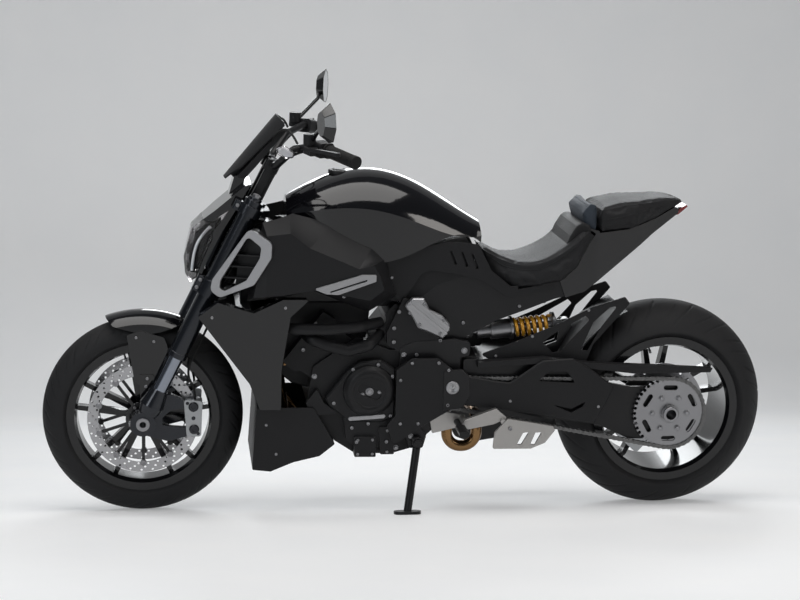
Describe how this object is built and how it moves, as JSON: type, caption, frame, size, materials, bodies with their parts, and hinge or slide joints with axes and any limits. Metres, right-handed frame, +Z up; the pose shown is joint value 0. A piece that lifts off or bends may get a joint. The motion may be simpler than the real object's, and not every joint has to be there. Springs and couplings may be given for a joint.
{
  "type": "power cruiser motorcycle",
  "caption": "Low, long power cruiser motorcycle with a wide rear tyre, single-sided swingarm, chain drive and side intakes, leaning on its side stand.",
  "frame": {"origin": "middle of the machine's floor plan, on the ground it stands on", "axes": "+X forward, +Y to the rider's left, +Z up; the machine leans 11 degrees to +Y on its side stand"},
  "size_m": [2.2169, 0.9392, 1.371],
  "materials": {
    "tyre_rubber": "matt rubber",
    "gloss_black": "gloss paint",
    "wheel_black": "gloss paint",
    "matt_black": "matt moulded plastic",
    "engine_black": "satin cast metal",
    "frame_black": "satin paint",
    "satin_silver": "satin silver paint",
    "bare_steel": "brushed",
    "disc_steel": "ground",
    "chain_steel": "oiled",
    "dark_chrome": "polished",
    "fork_black": "gloss anodised",
    "caliper_grey": "satin anodised",
    "gold_spring": "gloss paint",
    "cast_aluminium": "satin cast",
    "pipe_bronze": "heat tinted",
    "silencer_black": "satin heatproof paint",
    "seat_vinyl": "grained vinyl",
    "pad_vinyl": "grained vinyl",
    "grip_rubber": "matt",
    "lamp_glass": "clear",
    "tail_red": "gloss",
    "mirror_glass": "polished"
  },
  "bodies": {
    "chassis": {"frame_head": "frame_black", "crankcase": "engine_black", "cylinder_heads": "engine_black", "cam_covers": "satin_silver", "engine_covers": "engine_black", "pivot_plates": "frame_black", "swingarm": "frame_black", "rear_caliper": "caliper_grey", "drive_chain": "chain_steel", "swingarm_cover": "matt_black", "rear_hugger": "matt_black", "shock_absorber": "bare_steel", "shock_spring": "gold_spring", "fuel_tank": "gloss_black", "intake_rings": "satin_silver", "intake_housings": "matt_black", "side_vanes": "satin_silver", "radiator": "frame_black", "radiator_shrouds": "gloss_black", "belly_pan": "matt_black", "coolant_pipes": "matt_black", "exhaust_headers": "pipe_bronze", "silencer": "silencer_black", "rider_seat": "seat_vinyl", "passenger_seat": "seat_vinyl", "seat_pad": "pad_vinyl", "tail_unit": "gloss_black", "tail_lamp": "tail_red", "side_covers": "matt_black", "subframe": "frame_black", "foot_brackets": "cast_aluminium", "footrests": "frame_black", "air_box": "matt_black"},
    "steering": {"front_axle": "bare_steel", "fork_feet": "fork_black", "fork_stanchions": "dark_chrome", "fork_tubes": "fork_black", "triple_clamps": "fork_black", "front_calipers": "caliper_grey", "front_fender": "gloss_black", "headlamp_shell": "gloss_black", "headlamp_lens": "lamp_glass", "dashboard": "matt_black", "windscreen": "matt_black", "handlebar": "frame_black", "grips": "grip_rubber", "bar_controls": "matt_black", "mirrors": "gloss_black", "mirror_glass": "mirror_glass", "indicators": "lamp_glass"},
    "front_wheel": {"front_tyre": "tyre_rubber", "front_rim": "wheel_black", "front_discs": "disc_steel"},
    "rear_wheel": {"rear_tyre": "tyre_rubber", "rear_rim": "wheel_black", "rear_axle": "bare_steel", "rear_sprocket": "bare_steel"},
    "side_stand": {"side_stand": "frame_black"}
  },
  "joints": [
    {"name": "steer", "type": "hinge", "parent": "chassis", "child": "steering", "pos_m": [0.5794, -0.10497, 0.68846], "axis": [-0.4377, 0.1715, 0.8826], "range_deg": [-30, 30]},
    {"name": "front_spin", "type": "hinge", "parent": "steering", "child": "front_wheel", "pos_m": [0.80849, -0.1813, 0.29562], "axis": [-0.0002, 0.9816, -0.1908], "continuous": true},
    {"name": "rear_spin", "type": "hinge", "parent": "chassis", "child": "rear_wheel", "pos_m": [-0.78449, -0.17672, 0.32047], "axis": [-0.0002, 0.9816, -0.1908], "continuous": true},
    {"name": "stand_swing", "type": "hinge", "parent": "chassis", "child": "side_stand", "pos_m": [-0.00658, -0.0265, 0.2122], "axis": [-0.0002, 0.9816, -0.1908], "range_deg": [0, 85]}
  ]
}
